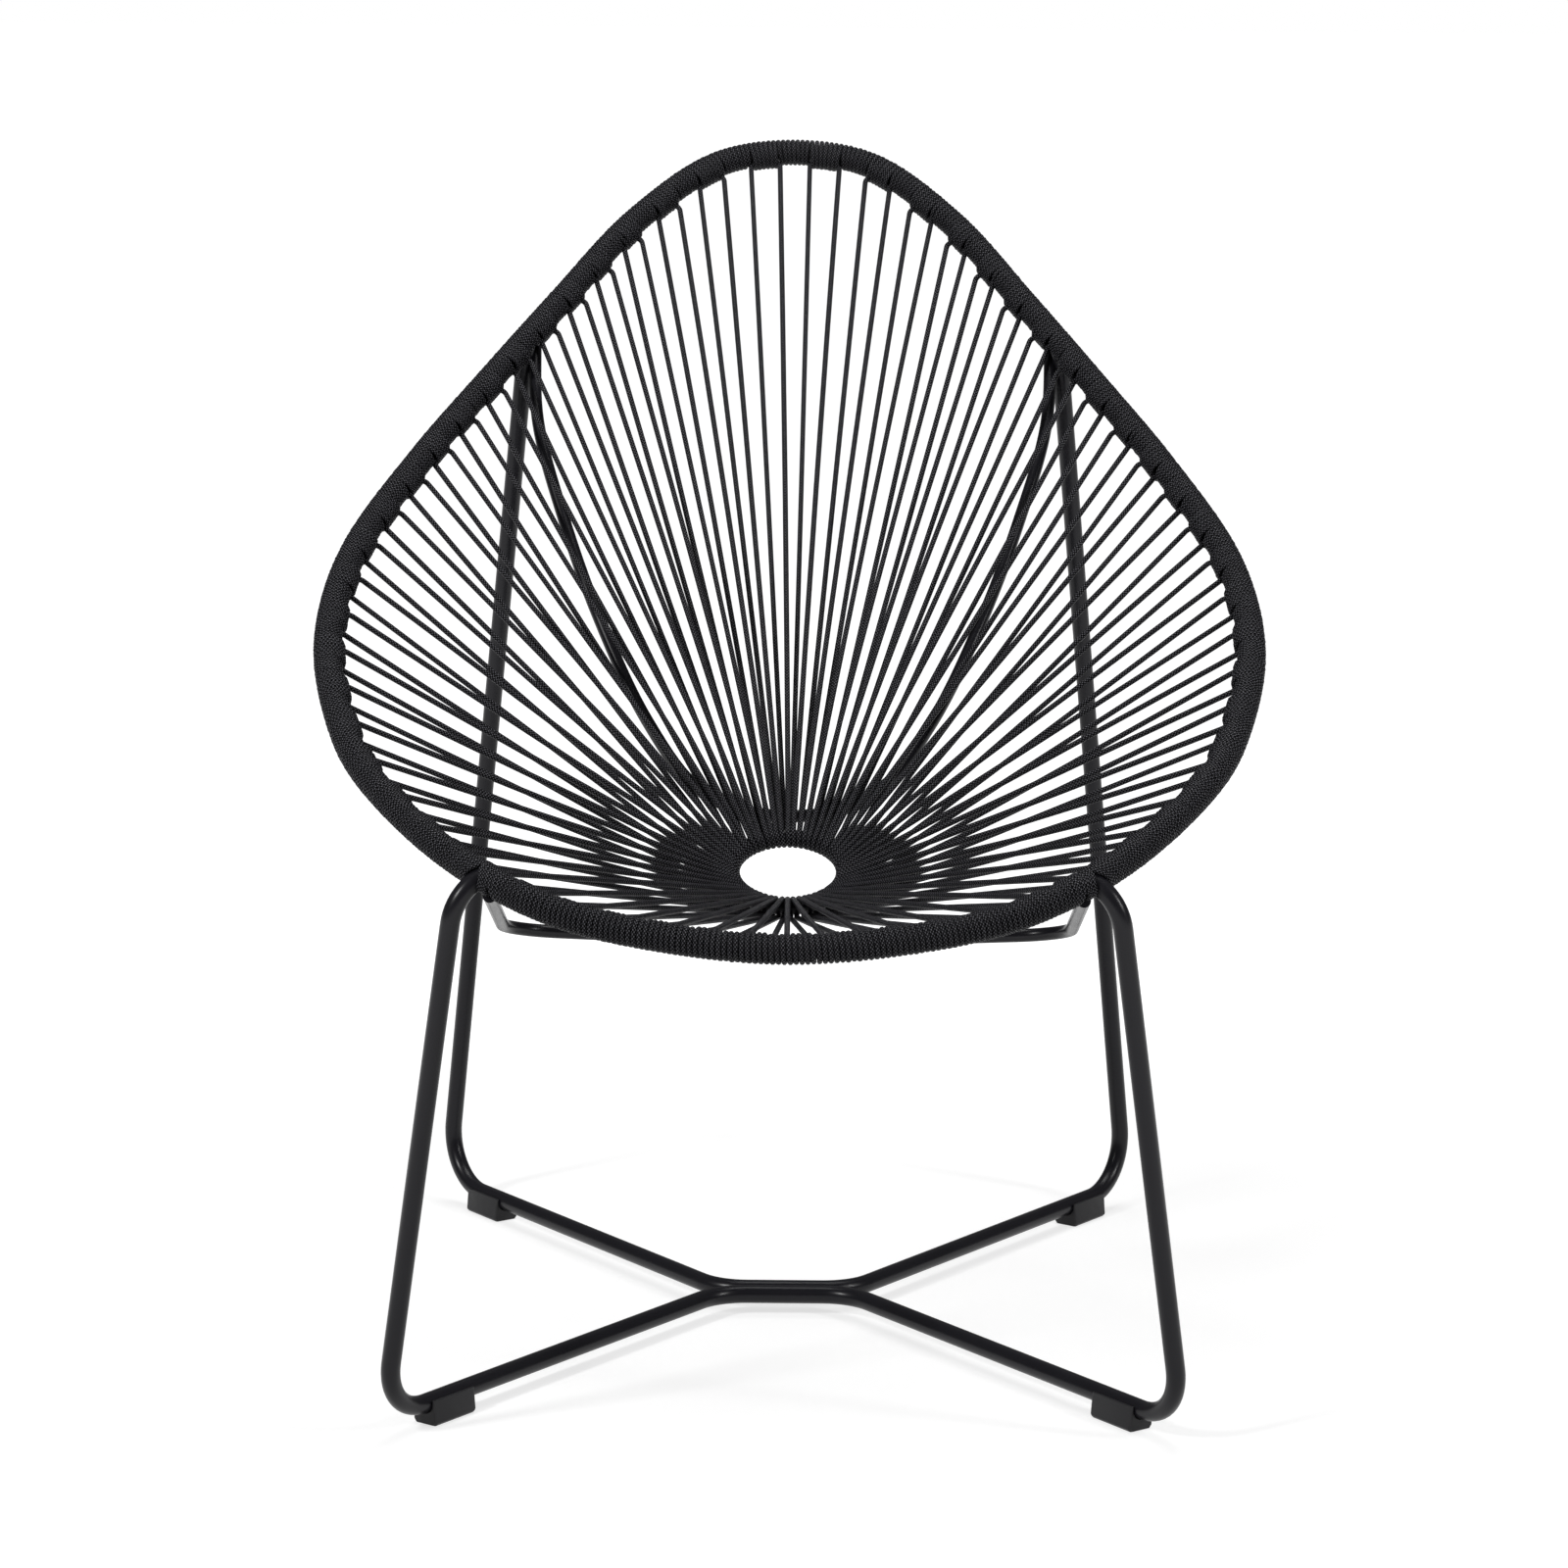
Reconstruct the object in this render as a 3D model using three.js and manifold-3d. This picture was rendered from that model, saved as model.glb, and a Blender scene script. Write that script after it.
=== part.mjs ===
// Acapulco lounge chair. A pear-shaped steel hoop is wound all round with rope, and the same rope
// runs in taut spans from the hoop to a small steel ring at the bottom of the seat. Two bent tubes
// joined side by side on the floor carry the hoop, a thin cross rod stiffens it under the seat, and
// a thin bent rod runs down behind the back and under the ring.
// Millimetres. The chair faces -Y, +X is to the right of a person who looks at it, the floor is Z = 0.
import * as THREE from 'three';
import { mergeVertices } from 'three/addons/utils/BufferGeometryUtils.js';
import Module from 'manifold-3d';

const wasm = await Module();
wasm.setup();

// Hoop, measured on its centreline.
const hoopHalfWidth = 350.5;
const hoopDepth = 852;
const hoopFrontHeight = 393.3;
const hoopRise = 496;

// Steel sections.
const tubeRadius = 7.15;
const rodRadius = 5;
const ringRodRadius = 5;

// Rope.
const ropeDiameter = 3.8;
const cordCount = 120;
const sectorCount = 20;
const firstCordIndex = -3;
const hoopTurnsPerSector = 4;
const ringTurnsPerSector = 3;
const windingGrooveDepth = 1.3;

// Centre ring: its place behind the hoop's front and its tilt, back edge up.
const ringRadius = 46;
const ringBehindFront = 383.5;
const ringHeight = 368.3;
const ringTilt = THREE.MathUtils.degToRad(25.5);

// Floor base: two bent tubes, mirror images of each other front to back.
const baseHalfWidth = 290;
const baseHalfDepth = 329;
const baseBehindMiddle = 16.3;
const baseCrossHalf = 52.4;
const glideFloorThickness = 8.85;
const floorBendRadius = 45;

// Front legs: the bend just outside the hoop, from the joint.
const frontBendOutside = 19.1;
const frontBendAhead = 11.4;
const frontBendBelow = 11.8;
const frontBendRadius = 37;

// Cross rod under the cords in front of the ring: its bends, from the hoop, the ring and the cords.
const crossBendOutside = 6;
const crossAheadOfRing = 46;
const crossUnderCords = 14;
const crossBendRadius = 40;
const crossSag = 8;
const crossSagRadius = 500;

// Back rod: how far its axis passes behind the cords, and its ends on the hoop above the rear legs.
const backRodBehindCords = 19;
const backRodFromLeg = 16.5;

// Glides under the floor tubes.
const glideLength = 46;
const glideWall = 4.1;
const glideWallRise = 3.4;
const glideEdge = 1.6;
const glideFromCorner = 68;

// Clearances between solids that touch on the real chair.
const touchGap = 0.3;
const ropeGap = 0.4;
const mergeDistance = 1e-4;

// Stretch of the hoop on each side of a joint that the joining pieces are cut to fit.
const jointReach = 60;

// Facets.
const tubeSides = 10;
const rodSides = 8;
const windingSides = 8;
const ringSides = 6;
const cordSides = 5;
const hoopStations = 56;
const hoopSamples = 1200;
const ringStations = 20;
const backRodSteps = 18;
const bendStep = THREE.MathUtils.degToRad(24);

const up = new THREE.Vector3(0, 0, 1);
const floorTubeHeight = glideFloorThickness + touchGap + tubeRadius;
const hoopFront = -hoopDepth / 2;

const powderCoat = { color: 0x1d1c21, roughness: 0.42, metalness: 0.35 };
const blackRope = { color: 0x17171a, roughness: 0.8, metalness: 0 };
const blackPlastic = { color: 0x202024, roughness: 0.6, metalness: 0 };

const chair = new THREE.Group();

function place(name, geometry, look) {
  const mesh = new THREE.Mesh(geometry, new THREE.MeshStandardMaterial(look));
  mesh.name = name;
  chair.add(mesh);
  return mesh;
}

// Solids for cutting and joining.
function solidOf(geometry) {
  const bare = geometry.clone();
  bare.deleteAttribute('normal');
  bare.deleteAttribute('uv');
  const merged = mergeVertices(bare, mergeDistance);
  const mesh = new wasm.Mesh({
    numProp: 3,
    vertProperties: Float32Array.from(merged.attributes.position.array),
    triVerts: Uint32Array.from(merged.index.array),
  });
  return new wasm.Manifold(mesh);
}

function geometryOf(solid) {
  const mesh = solid.getMesh();
  const geometry = new THREE.BufferGeometry();
  const corners = Float32Array.from(mesh.vertProperties);
  const triangles = Uint32Array.from(mesh.triVerts);
  geometry.setAttribute('position', new THREE.BufferAttribute(corners, 3));
  geometry.setIndex(new THREE.BufferAttribute(triangles, 1));
  geometry.computeVertexNormals();
  return geometry;
}

// A route given by its stations, with the run direction at each one, so that an extrusion has
// a section only where the route turns.
class StationRoute extends THREE.Curve {
  constructor(points, tangents) {
    super();
    this.points = points;
    this.tangents = tangents;
  }

  getPoint(share) {
    const along = share * (this.points.length - 1);
    const first = Math.min(Math.floor(along), this.points.length - 2);
    return this.points[first].clone().lerp(this.points[first + 1], along - first);
  }

  getPointAt(share) {
    return this.getPoint(share);
  }

  getTangentAt(share, target = new THREE.Vector3()) {
    return target.copy(this.tangents[Math.round(share * (this.points.length - 1))]);
  }
}

// Stations of a tube that runs straight between corners and turns round each with a bend radius.
function bentRoute(corners, radii) {
  const points = [corners[0].clone()];
  const tangents = [corners[1].clone().sub(corners[0]).normalize()];
  for (let k = 1; k < corners.length - 1; k += 1) {
    const before = corners[k].clone().sub(corners[k - 1]).normalize();
    const after = corners[k + 1].clone().sub(corners[k]).normalize();
    const turn = before.angleTo(after);
    const axis = before.clone().cross(after).normalize();
    const reach = radii[k - 1] * Math.tan(turn / 2);
    const start = corners[k].clone().addScaledVector(before, -reach);
    const centre = start.clone().addScaledVector(axis.clone().cross(before), radii[k - 1]);
    const steps = Math.max(2, Math.ceil(turn / bendStep));
    for (let step = 0; step <= steps; step += 1) {
      const angle = (turn * step) / steps;
      points.push(start.clone().sub(centre).applyAxisAngle(axis, angle).add(centre));
      tangents.push(before.clone().applyAxisAngle(axis, angle));
    }
  }
  points.push(corners.at(-1).clone());
  tangents.push(corners.at(-1).clone().sub(corners.at(-2)).normalize());
  return new StationRoute(points, tangents);
}

function discShape(radius, sides) {
  const corners = [];
  for (let k = 0; k < sides; k += 1) {
    const angle = (2 * Math.PI * k) / sides;
    corners.push(new THREE.Vector2(Math.cos(angle) * radius, Math.sin(angle) * radius));
  }
  return new THREE.Shape(corners);
}

function tubeAlong(route, radius, sides) {
  return new THREE.ExtrudeGeometry(discShape(radius, sides), {
    steps: route.points.length - 1,
    extrudePath: route,
    bevelEnabled: false,
  });
}

// A clearance tube whose flats, not its corners, stand off by the gap.
function clearanceAlong(route, radius, gap, sides) {
  return solidOf(tubeAlong(route, (radius + gap) / Math.cos(Math.PI / sides), sides));
}

// Half of the hoop's centreline from the front to the top of the back, as shares of its half width,
// its depth and its rise.
const hoopOutlineShares = [
  [0, 0, 0],
  [0.272, 0.018, 0.012],
  [0.471, 0.05, 0.035],
  [0.673, 0.121, 0.083],
  [0.87, 0.239, 0.161],
  [0.944, 0.317, 0.215],
  [1, 0.442, 0.311],
  [0.969, 0.554, 0.416],
  [0.837, 0.669, 0.543],
  [0.691, 0.758, 0.657],
  [0.542, 0.842, 0.77],
  [0.368, 0.93, 0.896],
  [0.177, 0.988, 0.982],
  [0, 1, 1],
];

function hoopPoint([wide, deep, high], side) {
  return new THREE.Vector3(
    side * wide * hoopHalfWidth,
    hoopFront + deep * hoopDepth,
    hoopFrontHeight + high * hoopRise,
  );
}

const rightHalf = hoopOutlineShares.map((shares) => hoopPoint(shares, 1));
const leftHalf = hoopOutlineShares.slice(1, -1).reverse().map((shares) => hoopPoint(shares, -1));
const hoopCurve = new THREE.CatmullRomCurve3([...rightHalf, ...leftHalf], true, 'centripetal');
hoopCurve.arcLengthDivisions = hoopSamples;

const hoopCorner = [];
const hoopDirection = [];
for (let k = 0; k <= hoopStations; k += 1) {
  hoopCorner.push(hoopCurve.getPointAt((k % hoopStations) / hoopStations));
  hoopDirection.push(hoopCurve.getTangentAt((k % hoopStations) / hoopStations));
}
const hoopLength = hoopCurve.getLength();

// The faceted hoop, at any share of its length counted from the front towards +X.
function onHoop(share) {
  const turn = ((share % 1) + 1) % 1;
  const station = Math.min(Math.floor(turn * hoopStations), hoopStations - 1);
  const rest = turn * hoopStations - station;
  const point = hoopCorner[station].clone().lerp(hoopCorner[station + 1], rest);
  const direction = hoopDirection[station].clone().lerp(hoopDirection[station + 1], rest).normalize();
  return { point, direction };
}

function hoopRoute(firstShare, lastShare) {
  const first = Math.floor(firstShare * hoopStations) - 1;
  const last = Math.ceil(lastShare * hoopStations) + 1;
  const points = [];
  const tangents = [];
  for (let station = first; station <= last; station += 1) {
    const spot = onHoop(station / hoopStations);
    points.push(spot.point);
    tangents.push(spot.direction);
  }
  return new StationRoute(points, tangents);
}

// The hoop is one bent tube whose ends meet in a butt weld at the middle of the seat's front.
const hoopPoints = hoopCorner.map((point) => point.clone());
const weldHalf = touchGap / 2;
hoopPoints[0].addScaledVector(hoopDirection[0], weldHalf);
hoopPoints[hoopStations].addScaledVector(hoopDirection[0], -weldHalf);
const hoopTubeRoute = new StationRoute(hoopPoints, hoopDirection);
place('hoop_tube', tubeAlong(hoopTubeRoute, tubeRadius, windingSides), powderCoat);

// Centre ring. Its plane leans back by the ring's tilt.
const ringCentre = new THREE.Vector3(0, hoopFront + ringBehindFront, ringHeight);
const ringNormal = up.clone().applyAxisAngle(new THREE.Vector3(1, 0, 0), ringTilt);
const ringForward = new THREE.Vector3(0, -1, 0).applyAxisAngle(new THREE.Vector3(1, 0, 0), ringTilt);
const ringSideways = new THREE.Vector3(1, 0, 0);
const quarterTurn = 1 / 4;
const firstSectorTurn = (firstCordIndex - 0.5) / cordCount;

function ringRadial(turn) {
  const angle = 2 * Math.PI * turn;
  const forward = ringForward.clone().multiplyScalar(Math.cos(angle));
  return forward.addScaledVector(ringSideways, Math.sin(angle));
}

function ringAlong(turn) {
  return ringRadial(turn + quarterTurn);
}

// The faceted ring rod, counted like the hoop from the front towards +X.
function onRing(turn) {
  const steps = (turn - firstSectorTurn) * ringStations;
  const station = Math.floor(steps);
  const rest = steps - station;
  const before = ringRadial(firstSectorTurn + station / ringStations);
  const after = ringRadial(firstSectorTurn + (station + 1) / ringStations);
  const point = before.lerp(after, rest).multiplyScalar(ringRadius).add(ringCentre);
  return { point, direction: ringAlong(turn) };
}

function ringGeometry(radius) {
  const torus = new THREE.TorusGeometry(ringRadius, radius, ringSides, ringStations);
  const basis = new THREE.Matrix4().makeBasis(
    ringRadial(firstSectorTurn),
    ringAlong(firstSectorTurn),
    ringRadial(firstSectorTurn).cross(ringAlong(firstSectorTurn)),
  );
  basis.setPosition(ringCentre);
  torus.applyMatrix4(basis);
  return torus;
}

place('centre_ring_rod', ringGeometry(ringRodRadius), powderCoat);
const ringClearance = solidOf(ringGeometry((ringRodRadius + touchGap) / Math.cos(Math.PI / ringSides)));

// Where the cords leave the hoop: every sixth cord's place from the front to the top of the back, as
// a share of the hoop's length. They stand closest together at the front.
const cordPlaceShares = [0, 0.038, 0.079, 0.125, 0.185, 0.242, 0.294, 0.342, 0.39, 0.44, 0.5];
const topPlace = cordPlaceShares.length - 1;

function cordPlaceShare(place) {
  const rounds = Math.floor(place / (2 * topPlace));
  const own = place - rounds * 2 * topPlace;
  return rounds + (own <= topPlace ? cordPlaceShares[own] : 1 - cordPlaceShares[2 * topPlace - own]);
}

// A smooth curve through those places.
function hoopShareOf(turn) {
  const along = turn * 2 * topPlace;
  const place = Math.floor(along);
  const rest = along - place;
  const [a, b, c, d] = [-1, 0, 1, 2].map((step) => cordPlaceShare(place + step));
  const bend = 2 * a - 5 * b + 4 * c - d + rest * (3 * (b - c) + d - a);
  return b + (rest * (c - a + rest * bend)) / 2;
}

// Cords 2m - 1 and 2m are the two ends of one loop round the ring. They stand closer together than
// the cords of two loops do, most of all at the front, and the whole row lies a little off the
// middle at the front and at the top of the back. These are shares of the distance between cords.
const frontPairShare = 0.125;
const frontShiftShare = 0.125;
const topShiftShare = 0.48;

function cordShareOf(number) {
  const frontness = (1 + Math.cos((2 * Math.PI * number) / cordCount)) / 2;
  const pair = frontness * frontPairShare;
  const shift = frontness ** 2 * frontShiftShare + (1 - frontness) ** 2 * topShiftShare;
  const ownShift = number % 2 === 0 ? shift - pair : shift + pair;
  return hoopShareOf((number + ownShift) / cordCount);
}

// At a place on the hoop: the direction to the ring, square to the tube, and the direction away
// from the sitter, square to both.
function hoopFrame(share) {
  const { point, direction } = onHoop(share);
  const inward = ringCentre.clone().sub(point);
  inward.addScaledVector(direction, -inward.dot(direction)).normalize();
  const behind = direction.clone().cross(inward).normalize();
  if (behind.z > 0) behind.negate();
  return { point, direction, inward, behind };
}

// Steel that carries the hoop. The legs meet the middle of its tube. The rods stand beside them and
// lap the side of the tube that is away from the sitter.
const frontJointTurn = 0.1135;
const rearJointTurn = 0.3856;
const rodSeatShare = 0.5;
const rodOffset = tubeRadius + rodSeatShare * rodRadius;
const besideLeg = tubeRadius + rodRadius + touchGap;

function mirrored(points) {
  const other = points.slice().reverse().map((point) => new THREE.Vector3(-point.x, point.y, point.z));
  return [...points, ...other];
}

function bothSides(radii) {
  return [...radii, ...radii.slice().reverse()];
}

const tubeSpacing = tubeRadius + touchGap / 2;
const frontJointShare = hoopShareOf(frontJointTurn);
const rearJointShare = hoopShareOf(rearJointTurn);
const frontJoint = hoopFrame(frontJointShare);
const rearJoint = hoopFrame(rearJointShare);
const crossJoint = hoopFrame(frontJointShare - besideLeg / hoopLength);
const backRodJoint = hoopFrame(rearJointShare + backRodFromLeg / hoopLength);

const frontBend = new THREE.Vector3(frontBendOutside, -frontBendAhead, -frontBendBelow).add(frontJoint.point);

function floorCorners(side) {
  return [
    new THREE.Vector3(baseHalfWidth, baseBehindMiddle + side * baseHalfDepth, floorTubeHeight),
    new THREE.Vector3(baseCrossHalf, baseBehindMiddle + side * tubeSpacing, floorTubeHeight),
  ];
}

const frontCorners = mirrored([frontJoint.point, frontBend, ...floorCorners(-1)]);
const frontRadii = [frontBendRadius, floorBendRadius, floorBendRadius];
const frontRoute = bentRoute(frontCorners, bothSides(frontRadii));

const rearCorners = mirrored([rearJoint.point, ...floorCorners(1)]);
const rearRoute = bentRoute(rearCorners, bothSides([floorBendRadius, floorBendRadius]));

const crossSeat = crossJoint.point.clone().addScaledVector(crossJoint.behind, rodOffset);
const ringFront = ringCentre.clone().addScaledVector(ringForward, ringRadius);
const crossDepth = ringFront.y - crossAheadOfRing;
const crossShare = (crossDepth - hoopFront) / (ringFront.y - hoopFront);
const cordHeight = THREE.MathUtils.lerp(hoopFrontHeight, ringFront.z, crossShare);
const crossBend = new THREE.Vector3(
  crossJoint.point.x + crossBendOutside,
  crossDepth,
  cordHeight - crossUnderCords,
);
const crossCorners = mirrored([crossSeat, crossBend]);
crossCorners.splice(2, 0, new THREE.Vector3(0, crossDepth, crossBend.z - crossSag));
const crossRoute = bentRoute(crossCorners, [crossBendRadius, crossSagRadius, crossBendRadius]);

// A place on the surface that the cords span, at a share of the way from the hoop to the ring.
function amongCords(turn, share) {
  return onHoop(hoopShareOf(turn)).point.lerp(onRing(turn).point, share);
}

function behindCords(turn, share, distance) {
  const place = amongCords(turn, share);
  const alongCord = onRing(turn).point.sub(place);
  const acrossCords = amongCords(turn + 1 / cordCount, share).sub(place);
  return place.addScaledVector(alongCord.cross(acrossCords).normalize(), distance);
}

// The back rod's route on one side, from the hoop to the middle: shares of a turn, of the way from
// the hoop to the ring and of the distance behind the cords.
const backRodShares = [
  [0.3779, 0.125, 0.7],
  [0.3684, 0.2971, 0.882],
  [0.3588, 0.4812, 0.942],
  [0.3508, 0.689, 1.001],
  [0.3648, 0.8499, 1.065],
  [0.4293, 0.9354, 1.053],
];
const backRodTop = backRodJoint.point.clone().addScaledVector(backRodJoint.behind, rodOffset);
const backRodHalf = backRodShares.map(([turn, cordShare, distanceShare]) => (
  behindCords(turn, cordShare, distanceShare * backRodBehindCords)
));
const backRodCorners = mirrored([backRodTop, ...backRodHalf]);
const backRodCurve = new THREE.CatmullRomCurve3(backRodCorners, false, 'centripetal');
const backRodRoute = new StationRoute(
  backRodCurve.getSpacedPoints(backRodSteps),
  Array.from({ length: backRodSteps + 1 }, (_, k) => backRodCurve.getTangentAt(k / backRodSteps)),
);

const hoopClearance = (share) => {
  const reach = jointReach / hoopLength;
  return clearanceAlong(hoopRoute(share - reach, share + reach), tubeRadius, touchGap, windingSides);
};

function cutBy(solid, cutters) {
  return cutters.reduce((left, cutter) => left.subtract(cutter), solid);
}

const hoopCutters = [frontJointShare, rearJointShare].flatMap((share) => (
  [hoopClearance(share), hoopClearance(1 - share)]
));
const frontCutter = clearanceAlong(frontRoute, tubeRadius, touchGap, tubeSides);
const backRodCutter = clearanceAlong(backRodRoute, rodRadius, touchGap, rodSides);

const frontLeg = cutBy(solidOf(tubeAlong(frontRoute, tubeRadius, tubeSides)), hoopCutters);
const rearLeg = cutBy(solidOf(tubeAlong(rearRoute, tubeRadius, tubeSides)), [...hoopCutters, backRodCutter]);
const crossRod = cutBy(solidOf(tubeAlong(crossRoute, rodRadius, rodSides)), [...hoopCutters, frontCutter]);
const backRod = cutBy(solidOf(tubeAlong(backRodRoute, rodRadius, rodSides)), hoopCutters);
place('front_leg_tube', geometryOf(frontLeg), powderCoat);
place('rear_leg_tube', geometryOf(rearLeg), powderCoat);
place('seat_cross_rod', geometryOf(crossRod), powderCoat);
place('back_support_rod', geometryOf(backRod), powderCoat);

// Rope wound on a rod: one unbroken helical rib. Each of the columns round the rod holds the
// points of crest and groove that the helix passes there, and both ends are cut square.
function woundRope(onRod, first, last, turns, sides, crestRadius) {
  const grooveRadius = crestRadius - windingGrooveDepth;
  const positions = [];
  const columns = [];
  const pitch = (last - first) / turns;
  for (let side = 0; side < sides; side += 1) {
    const column = [];
    const add = (share, radius) => {
      const { point, across, away } = onRod(share);
      const angle = (2 * Math.PI * side) / sides;
      const corner = point.clone();
      corner.addScaledVector(across, Math.cos(angle) * radius);
      corner.addScaledVector(away, Math.sin(angle) * radius);
      column.push({ index: positions.length, share });
      positions.push(corner);
    };
    add(first, grooveRadius);
    const lead = (pitch * (side + 0.5)) / sides / 2;
    for (let half = 0; half < 2 * turns; half += 1) {
      add(first + lead + (half * pitch) / 2, half % 2 === 0 ? crestRadius : grooveRadius);
    }
    add(last, grooveRadius);
    columns.push(column);
  }
  const triangles = [];
  columns.forEach((left, side) => {
    const right = columns[(side + 1) % sides];
    let a = 0;
    let b = 0;
    while (a < left.length - 1 || b < right.length - 1) {
      const leftIsNext = a < left.length - 1 && left[a + 1].share <= (right[b + 1]?.share ?? Infinity);
      if (leftIsNext) {
        triangles.push([left[a].index, right[b].index, left[a + 1].index]);
        a += 1;
      } else {
        triangles.push([left[a].index, right[b].index, right[b + 1].index]);
        b += 1;
      }
    }
  });
  for (let side = 1; side < sides - 1; side += 1) {
    triangles.push([columns[0][0].index, columns[side + 1][0].index, columns[side][0].index]);
    triangles.push([columns[0].at(-1).index, columns[side].at(-1).index, columns[side + 1].at(-1).index]);
  }
  const geometry = new THREE.BufferGeometry().setFromPoints(positions);
  geometry.setIndex(triangles.flat());
  return solidOf(geometry);
}

const hoopCrest = tubeRadius + touchGap + ropeDiameter;
const ringCrest = ringRodRadius + touchGap + ropeDiameter;
const onHoopRod = (share) => {
  const { point, direction, inward } = hoopFrame(share);
  return { point, across: inward, away: direction.clone().cross(inward) };
};
const onRingRod = (turn) => {
  const { point, direction } = onRing(turn);
  const across = ringRadial(turn);
  return { point, across, away: direction.clone().cross(across) };
};

// A taut cord between two points.
function cordBetween({ start, end }) {
  const run = end.clone().sub(start);
  const ropeRadius = ropeDiameter / 2;
  const cord = new THREE.CylinderGeometry(ropeRadius, ropeRadius, run.length(), cordSides, 1);
  const cylinderAxis = new THREE.Vector3(0, 1, 0);
  cord.applyQuaternion(new THREE.Quaternion().setFromUnitVectors(cylinderAxis, run.normalize()));
  const middle = start.clone().lerp(end, 0.5);
  cord.translate(middle.x, middle.y, middle.z);
  return solidOf(cord);
}

// The least distance between two turns of the rope on the hoop, measured from crest to crest.
function leastHoopPitch() {
  const turns = sectorCount * hoopTurnsPerSector;
  let least = Infinity;
  for (let turn = 0; turn < turns; turn += 1) {
    const here = onHoop(hoopShareOf(turn / turns)).point;
    const there = onHoop(hoopShareOf((turn + 1) / turns)).point;
    least = Math.min(least, here.distanceTo(there));
  }
  return least;
}

// Each loop round the ring has one cord that comes in high on the winding and one low.
const ringSeat = ringRodRadius + touchGap + ropeDiameter / 4;
const hoopSeat = hoopCrest + ropeGap + touchGap;

function cordEnds(number) {
  const loopTurn = (2 * Math.ceil(number / 2) - 0.5) / cordCount;
  const side = number % 2 === 0 ? 1 : -1;
  const ringEnd = onRing(loopTurn).point.addScaledVector(ringNormal, side * ringSeat);
  ringEnd.addScaledVector(ringRadial(loopTurn), ringRodRadius / 2);
  const { point, direction } = onHoop(cordShareOf(number));
  const run = ringEnd.clone().sub(point).normalize();
  const lean = run.dot(direction);
  const inward = run.addScaledVector(direction, -lean).normalize();
  const rimDip = (Math.abs(lean) * ropeDiameter) / 2;
  return { start: point.addScaledVector(inward, hoopSeat + rimDip), end: ringEnd };
}

// The least gap between a cord and the three after it, measured at points along them.
function leastCordGap(points) {
  const cords = Array.from({ length: cordCount }, (_, number) => cordEnds(number));
  let least = Infinity;
  cords.forEach((cord, number) => {
    for (let ahead = 1; ahead <= 3; ahead += 1) {
      const other = cords[(number + ahead) % cordCount];
      for (let k = 0; k <= points; k += 1) {
        const here = cord.start.clone().lerp(cord.end, k / points);
        const there = other.start.clone().lerp(other.end, k / points);
        least = Math.min(least, here.distanceTo(there) - ropeDiameter);
      }
    }
  });
  return least;
}

console.log(`Least gap between two cords: ${leastCordGap(40).toFixed(2)} mm`);
console.log(`Least pitch of the rope on the hoop: ${leastHoopPitch().toFixed(2)} mm`);

const ropeCutters = [
  clearanceAlong(frontRoute, tubeRadius, ropeGap, tubeSides),
  clearanceAlong(rearRoute, tubeRadius, ropeGap, tubeSides),
  clearanceAlong(crossRoute, rodRadius, ropeGap, rodSides),
  clearanceAlong(backRodRoute, rodRadius, ropeGap, rodSides),
];

const cordsPerSector = cordCount / sectorCount;
const hoopEndGap = touchGap / 2 / hoopLength;
const ringEndGap = touchGap / 2 / (2 * Math.PI * (ringRadius - ringCrest));

// The rope is divided between loops into sectors, clear of the steel's joints. Each has a winding
// on the hoop, and its cords with their winding on the ring.
function sectorTurns(sector) {
  const firstTurn = firstSectorTurn + sector / sectorCount;
  return [firstTurn, firstTurn + 1 / sectorCount];
}

function hoopWinding(sector) {
  const [first, last] = sectorTurns(sector).map(hoopShareOf);
  const rope = woundRope(
    onHoopRod, first + hoopEndGap, last - hoopEndGap, hoopTurnsPerSector, windingSides, hoopCrest,
  );
  const bore = clearanceAlong(hoopRoute(first, last), tubeRadius, touchGap, windingSides);
  return cutBy(rope, [bore, ...ropeCutters]);
}

function ringWinding(sector, endGap, crestRadius) {
  const [first, last] = sectorTurns(sector);
  return woundRope(onRingRod, first + endGap, last - endGap, ringTurnsPerSector, ringSides, crestRadius);
}

// The outermost cords lean along the ring, so they are cut clear of the winding next to theirs.
function seatCords(sector) {
  let cords = cordBetween(cordEnds(firstCordIndex + sector * cordsPerSector));
  for (let cord = 1; cord < cordsPerSector; cord += 1) {
    cords = cords.add(cordBetween(cordEnds(firstCordIndex + sector * cordsPerSector + cord)));
  }
  const others = [sector - 1, sector + 1].map((other) => ringWinding(other, 0, ringCrest + touchGap));
  const rope = cutBy(cords, others).add(ringWinding(sector, ringEndGap, ringCrest));
  return cutBy(rope, [ringClearance, ...ropeCutters]);
}

for (let sector = 0; sector < sectorCount; sector += 1) {
  const number = String(sector + 1).padStart(2, '0');
  place(`hoop_rope_${number}`, geometryOf(hoopWinding(sector)), blackRope);
  place(`seat_rope_${number}`, geometryOf(seatCords(sector)), blackRope);
}

// Glides: plastic blocks with a round bed between two walls, pressed up onto the floor tubes near
// each corner.
const bedRadius = tubeRadius + touchGap;
const glideHalf = bedRadius + glideWall;
const glideHeight = floorTubeHeight + glideWallRise;

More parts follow.
